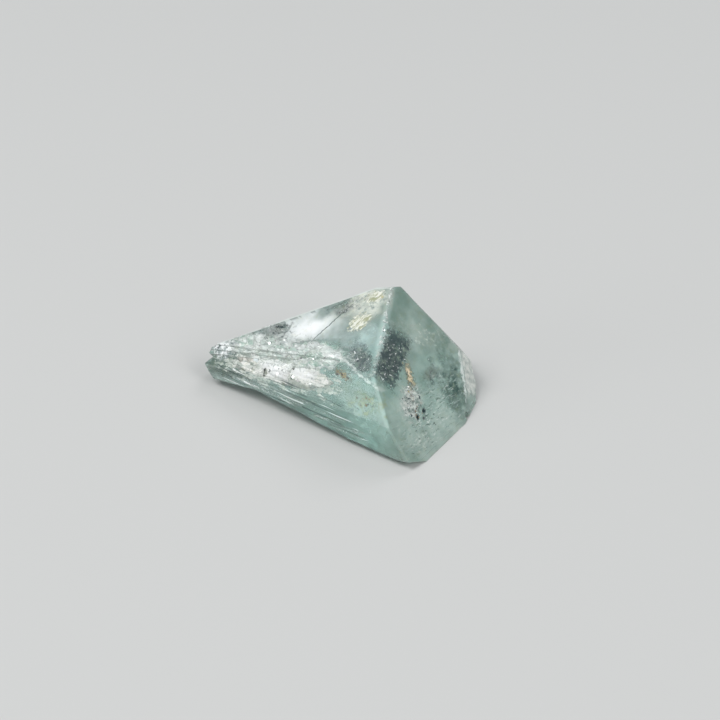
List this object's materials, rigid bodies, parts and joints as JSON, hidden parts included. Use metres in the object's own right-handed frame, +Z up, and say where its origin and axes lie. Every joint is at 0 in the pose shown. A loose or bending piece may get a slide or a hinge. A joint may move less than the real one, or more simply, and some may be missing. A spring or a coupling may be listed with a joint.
{
  "type": "phosphophyllite crystal",
  "caption": "Loose natural crystal of pale blue-green phosphophyllite, a tapering faceted shape with a broken tip, that lies on its flattest side.",
  "frame": {"origin": "middle of the crystal's bounding box, on the surface that it rests on", "axes": "+X from the thin broken tip towards the thick end, the longest extent; +Y away from the striated front band; +Z up, the shortest extent"},
  "size_m": [0.0134, 0.009, 0.0056],
  "materials": {
    "crystal": "see-through pale blue-green mineral with a glassy lustre, clouded by cracks, frosted where it is broken",
    "veil": "whitish veils, cleavage cracks and scaly flakes sealed in the crystal",
    "smoke": "dark, finely sparkling veils sealed in the crystal",
    "iron_stain": "dull tan to brown iron-stained crust and grains"
  },
  "bodies": {
    "root": {"crystal": "crystal"}
  },
  "joints": []
}
